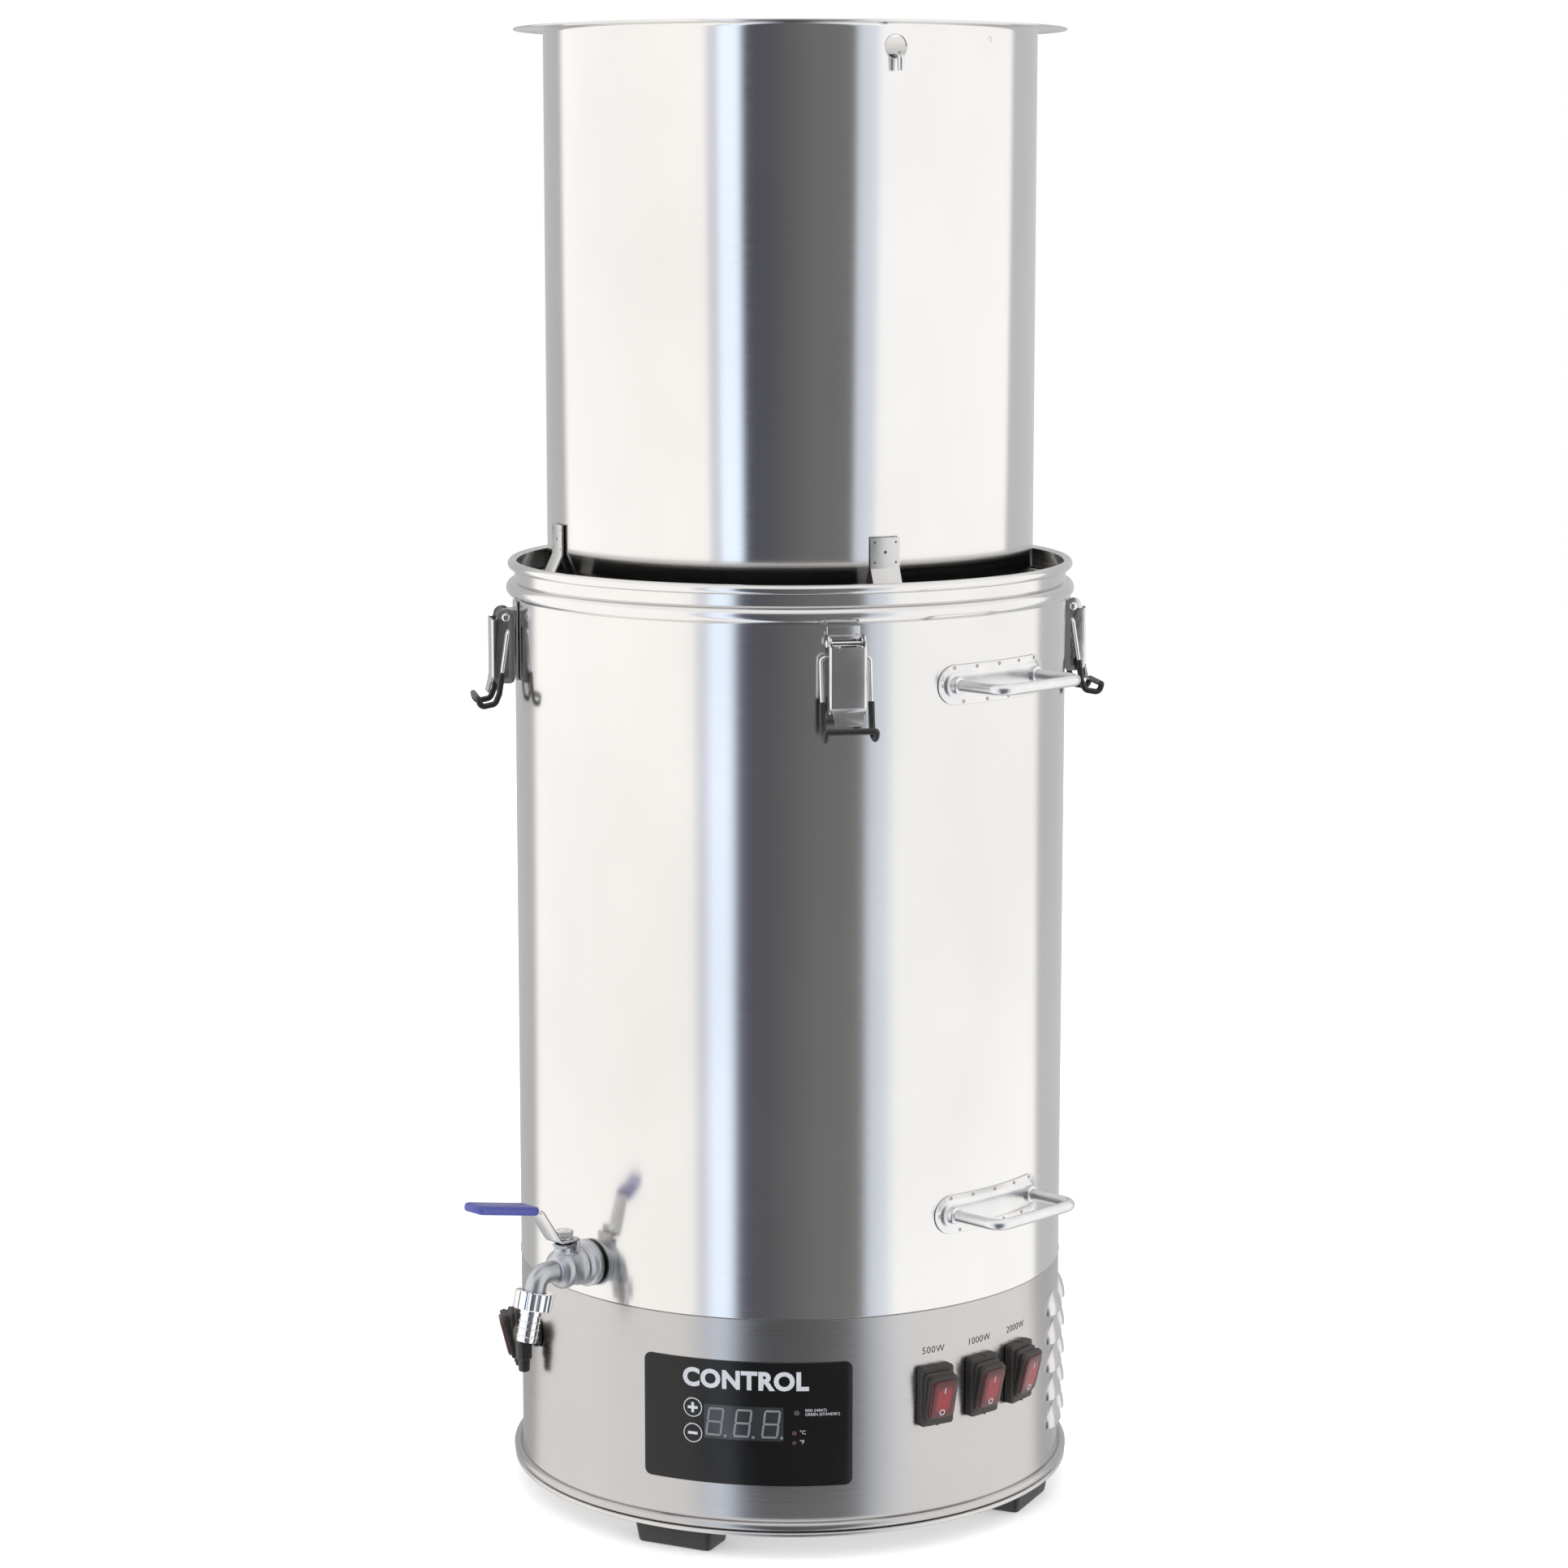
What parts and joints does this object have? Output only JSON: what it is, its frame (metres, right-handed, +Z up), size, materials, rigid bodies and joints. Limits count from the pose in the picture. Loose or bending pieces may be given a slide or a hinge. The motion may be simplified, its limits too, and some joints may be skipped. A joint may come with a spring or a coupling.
{
  "type": "electric brewing kettle",
  "caption": "Tall stainless electric brewing kettle with a malt pipe raised on brackets, over-centre latches, bar handles, a ball tap, rocker switches and a temperature panel.",
  "frame": {"origin": "on the kettle's vertical axis, at the flat underside of the base pan", "axes": "+Z up along the kettle's axis; -Y out through the middle of the control panel; +X to the panel's right as it is looked at"},
  "size_m": [0.4498, 0.4864, 1.0634],
  "materials": {
    "brushed_steel": "fine horizontal brushing",
    "sheet_steel": "plain mill sheet",
    "cast_steel": "matte bead-blasted casting",
    "chrome": "bright polished",
    "black_rubber": "matte moulded",
    "black_plastic": "satin",
    "sleeved_wire": "steel wire with a black sleeve on its hook",
    "panel_film": "smooth black film with white print",
    "display_lens": "smoked clear",
    "rocker_red": "dark translucent red",
    "grip_blue": "dipped vinyl sleeve",
    "element_aluminium": "matte"
  },
  "bodies": {
    "kettle": {"base_pan": "sheet_steel", "base_skirt": "brushed_steel", "control_panel": "panel_film", "cord_gland": "black_plastic", "coupling_nut": "chrome", "display_lens": "display_lens", "foot_1": "black_rubber", "foot_2": "black_rubber", "foot_3": "black_rubber", "foot_4": "black_rubber", "handle_lower_left": "brushed_steel", "handle_lower_right": "brushed_steel", "handle_plate_lower_left": "brushed_steel", "handle_plate_lower_right": "brushed_steel", "handle_plate_upper_left": "brushed_steel", "handle_plate_upper_right": "brushed_steel", "handle_upper_left": "brushed_steel", "handle_upper_right": "brushed_steel", "heating_element_1000w": "element_aluminium", "heating_element_2000w": "element_aluminium", "heating_element_500w": "element_aluminium", "hose_barb": "chrome", "kettle_floor": "sheet_steel", "kettle_shell": "brushed_steel", "latch_base_1": "brushed_steel", "latch_base_2": "brushed_steel", "latch_base_3": "brushed_steel", "latch_base_4": "brushed_steel", "switch_boot_1000w": "black_rubber", "switch_boot_2000w": "black_rubber", "switch_boot_500w": "black_rubber", "switch_boot_main": "black_rubber", "tap_gasket": "black_rubber", "tap_lock_nut": "cast_steel", "valve_body": "cast_steel"},
    "malt_pipe": {"malt_pipe": "brushed_steel", "malt_screen": "sheet_steel", "pipe_bracket_1": "sheet_steel", "pipe_bracket_2": "sheet_steel", "pipe_bracket_3": "sheet_steel", "pipe_bracket_4": "sheet_steel"},
    "lifting_bail": {"lifting_bail": "brushed_steel"},
    "plus_button": {"plus_button": "black_plastic"},
    "minus_button": {"minus_button": "black_plastic"},
    "tap_lever": {"valve_ball": "chrome", "valve_lever": "brushed_steel", "lever_grip": "grip_blue", "stem_nut": "brushed_steel"},
    "rocker_500w": {"rocker_500w": "rocker_red"},
    "rocker_1000w": {"rocker_1000w": "rocker_red"},
    "rocker_2000w": {"rocker_2000w": "rocker_red"},
    "rocker_main": {"rocker_main": "rocker_red"},
    "latch_lever_1": {"latch_lever_1": "chrome"},
    "latch_bail_1": {"latch_bail_1": "sleeved_wire"},
    "latch_lever_2": {"latch_lever_2": "chrome"},
    "latch_bail_2": {"latch_bail_2": "sleeved_wire"},
    "latch_lever_3": {"latch_lever_3": "chrome"},
    "latch_bail_3": {"latch_bail_3": "sleeved_wire"},
    "latch_lever_4": {"latch_lever_4": "chrome"},
    "latch_bail_4": {"latch_bail_4": "sleeved_wire"}
  },
  "joints": [
    {"name": "malt_pipe_lift", "type": "slide", "parent": "kettle", "child": "malt_pipe", "axis": [0, 0, 1], "range_m": [0, 0.12]},
    {"name": "lifting_bail_swing", "type": "hinge", "parent": "malt_pipe", "child": "lifting_bail", "pos_m": [0, 0, 1.0258], "axis": [0.5432, -0.8396, 0], "range_deg": [-90, 180]},
    {"name": "plus_button_press", "type": "slide", "parent": "kettle", "child": "plus_button", "axis": [0.184, 0.9829, 0], "range_m": [0, 0.0005], "stiffness_N_per_m": 1000},
    {"name": "minus_button_press", "type": "slide", "parent": "kettle", "child": "minus_button", "axis": [0.184, 0.9829, 0], "range_m": [0, 0.0005], "stiffness_N_per_m": 1000},
    {"name": "rocker_500w_tilt", "type": "hinge", "parent": "kettle", "child": "rocker_500w", "pos_m": [0.1313, -0.16042, 0.0961], "axis": [0.7738, 0.6334, 0], "range_deg": [-28, 0]},
    {"name": "rocker_1000w_tilt", "type": "hinge", "parent": "kettle", "child": "rocker_1000w", "pos_m": [0.16156, -0.1299, 0.0961], "axis": [0.6266, 0.7793, 0], "range_deg": [-28, 0]},
    {"name": "rocker_2000w_tilt", "type": "hinge", "parent": "kettle", "child": "rocker_2000w", "pos_m": [0.18471, -0.09411, 0.0961], "axis": [0.454, 0.891, 0], "range_deg": [-28, 0]},
    {"name": "rocker_main_tilt", "type": "hinge", "parent": "kettle", "child": "rocker_main", "pos_m": [-0.19824, -0.06061, 0.0961], "axis": [0.2924, -0.9563, 0], "range_deg": [-28, 0]},
    {"name": "tap_turn", "type": "hinge", "parent": "kettle", "child": "tap_lever", "pos_m": [-0.13255, -0.18243, 0.1832], "axis": [0, 0, 1], "range_deg": [0, 90]},
    {"name": "latch_lever_1_hinge", "type": "hinge", "parent": "kettle", "child": "latch_lever_1", "pos_m": [0.06949, -0.19732, 0.6325], "axis": [-0.9432, -0.3322, 0], "range_deg": [0, 90]},
    {"name": "latch_bail_1_hinge", "type": "hinge", "parent": "latch_lever_1", "child": "latch_bail_1", "pos_m": [0.06909, -0.19619, 0.623], "axis": [-0.9432, -0.3322, 0], "range_deg": [0, 90]},
    {"name": "latch_lever_2_hinge", "type": "hinge", "parent": "kettle", "child": "latch_lever_2", "pos_m": [0.19732, 0.06949, 0.6325], "axis": [0.3322, -0.9432, 0], "range_deg": [0, 90]},
    {"name": "latch_bail_2_hinge", "type": "hinge", "parent": "latch_lever_2", "child": "latch_bail_2", "pos_m": [0.19619, 0.06909, 0.623], "axis": [0.3322, -0.9432, 0], "range_deg": [0, 90]},
    {"name": "latch_lever_3_hinge", "type": "hinge", "parent": "kettle", "child": "latch_lever_3", "pos_m": [-0.06949, 0.19732, 0.6325], "axis": [0.9432, 0.3322, 0], "range_deg": [0, 90]},
    {"name": "latch_bail_3_hinge", "type": "hinge", "parent": "latch_lever_3", "child": "latch_bail_3", "pos_m": [-0.06909, 0.19619, 0.623], "axis": [0.9432, 0.3322, 0], "range_deg": [0, 90]},
    {"name": "latch_lever_4_hinge", "type": "hinge", "parent": "kettle", "child": "latch_lever_4", "pos_m": [-0.19732, -0.06949, 0.6325], "axis": [-0.3322, 0.9432, 0], "range_deg": [0, 90]},
    {"name": "latch_bail_4_hinge", "type": "hinge", "parent": "latch_lever_4", "child": "latch_bail_4", "pos_m": [-0.19619, -0.06909, 0.623], "axis": [-0.3322, 0.9432, 0], "range_deg": [0, 90]}
  ]
}
